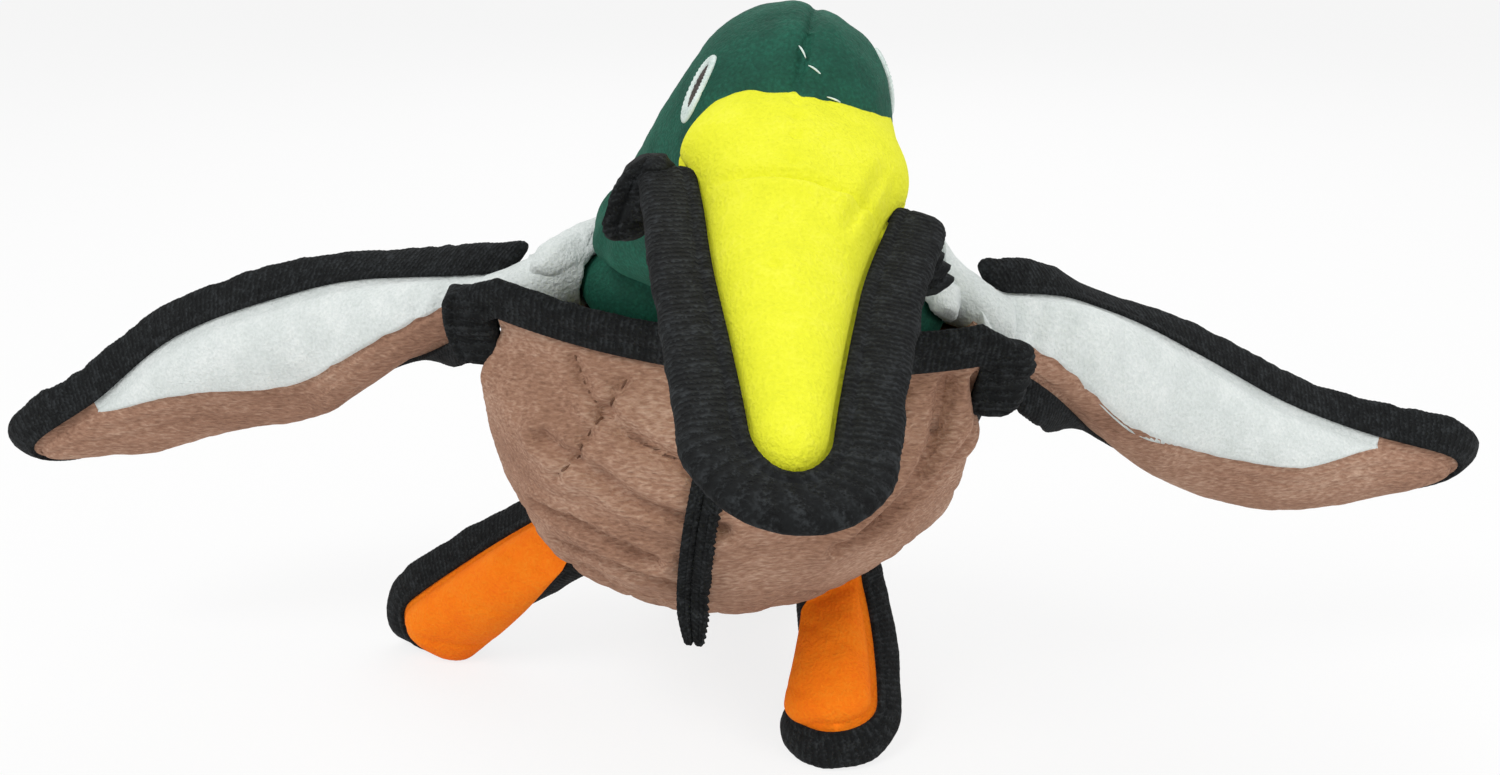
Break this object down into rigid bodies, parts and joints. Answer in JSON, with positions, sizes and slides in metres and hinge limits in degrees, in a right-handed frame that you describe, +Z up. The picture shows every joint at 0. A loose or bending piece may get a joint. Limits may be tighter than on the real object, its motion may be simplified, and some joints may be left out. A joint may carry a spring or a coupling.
{
  "type": "plush dog toy",
  "caption": "Stuffed plush mallard duck dog toy with tape-bound seams, spread wings, long flat bill, feet and tail; it stands on its toes and tail, and head, wings and feet flex.",
  "frame": {"origin": "centre of the footprint of the whole toy, on the floor that its toes and tail stand on", "axes": "+Z up; the duck faces -Y and its left wing points along +X"},
  "size_m": [0.5058, 0.3136, 0.2439],
  "materials": {
    "brown_plush": "brushed plush with a short nap",
    "white_plush": "brushed plush with a short nap",
    "green_plush": "glossy short velour",
    "yellow_plush": "matt fleece",
    "orange_plush": "matt fleece",
    "webbing": "ribbed woven webbing tape",
    "fibre_fill": "loose polyester fibre",
    "eye_thread": "satin embroidery",
    "dark_thread": "satin embroidery",
    "soft_plastic": "moulded soft plastic"
  },
  "bodies": {
    "body": {"belly_panel_left": "brown_plush", "belly_panel_right": "brown_plush", "back_panel": "brown_plush", "body_stuffing": "fibre_fill", "breast_tape": "webbing", "belly_centre_tape": "webbing", "side_tape_left": "webbing", "side_tape_right": "webbing", "neck_ring_cape": "white_plush", "squeaker_bladder": "soft_plastic", "squeaker_reed": "soft_plastic"},
    "head": {"neck_sleeve": "green_plush", "head_panel_left": "green_plush", "head_panel_right": "green_plush", "head_stuffing": "fibre_fill", "eye_ring_left": "eye_thread", "eye_core_left": "dark_thread", "eye_ring_right": "eye_thread", "eye_core_right": "dark_thread", "bill_top": "yellow_plush", "bill_bottom": "yellow_plush", "bill_tape": "webbing", "bill_stuffing": "fibre_fill", "cheek_fold_left": "webbing", "cheek_fold_right": "webbing"},
    "wing_left": {"wing_top_left": "brown_plush", "wing_lining_white_left": "white_plush", "wing_lining_brown_left": "brown_plush", "wing_tape_left": "webbing", "wing_stuffing_left": "fibre_fill"},
    "wing_right": {"wing_top_right": "brown_plush", "wing_lining_white_right": "white_plush", "wing_lining_brown_right": "brown_plush", "wing_tape_right": "webbing", "wing_stuffing_right": "fibre_fill"},
    "foot_left": {"foot_top_left": "orange_plush", "foot_bottom_left": "orange_plush", "foot_tape_left": "webbing", "foot_stuffing_left": "fibre_fill"},
    "foot_right": {"foot_top_right": "orange_plush", "foot_bottom_right": "orange_plush", "foot_tape_right": "webbing", "foot_stuffing_right": "fibre_fill"},
    "tail": {"tail_top": "brown_plush", "tail_bottom": "brown_plush", "tail_tape": "webbing", "tail_stuffing": "fibre_fill"}
  },
  "joints": [
    {"name": "neck_nod", "type": "hinge", "parent": "body", "child": "head", "pos_m": [0.0067, 0.03267, 0.1545], "axis": [0.9936, -0.0828, -0.0772], "range_deg": [-12, 15], "stiffness_Nm_per_rad": 3},
    {"name": "wing_flap_left", "type": "hinge", "parent": "body", "child": "wing_left", "pos_m": [0.0782, 0.03167, 0.144], "axis": [-0.3558, 0.3558, 0.8642], "range_deg": [-22, 22], "stiffness_Nm_per_rad": 0.8},
    {"name": "wing_flap_right", "type": "hinge", "parent": "body", "child": "wing_right", "pos_m": [-0.0713, 0.03867, 0.153], "axis": [0.527, 0.1054, 0.8433], "range_deg": [-22, 22], "stiffness_Nm_per_rad": 0.8},
    {"name": "foot_swing_left", "type": "hinge", "parent": "body", "child": "foot_left", "pos_m": [0.03229, 0.05856, 0.04346], "axis": [0.9377, 0.2541, 0.237], "range_deg": [-20, 20], "stiffness_Nm_per_rad": 3},
    {"name": "foot_swing_right", "type": "hinge", "parent": "body", "child": "foot_right", "pos_m": [-0.06085, 0.07437, 0.05815], "axis": [-0.2275, 0.7122, 0.6641], "range_deg": [-20, 20], "stiffness_Nm_per_rad": 3},
    {"name": "tail_lift", "type": "hinge", "parent": "body", "child": "tail", "pos_m": [-0.0003, 0.12504, 0.03079], "axis": [0.9936, -0.0828, -0.0772], "range_deg": [-20, 20], "stiffness_Nm_per_rad": 3}
  ]
}
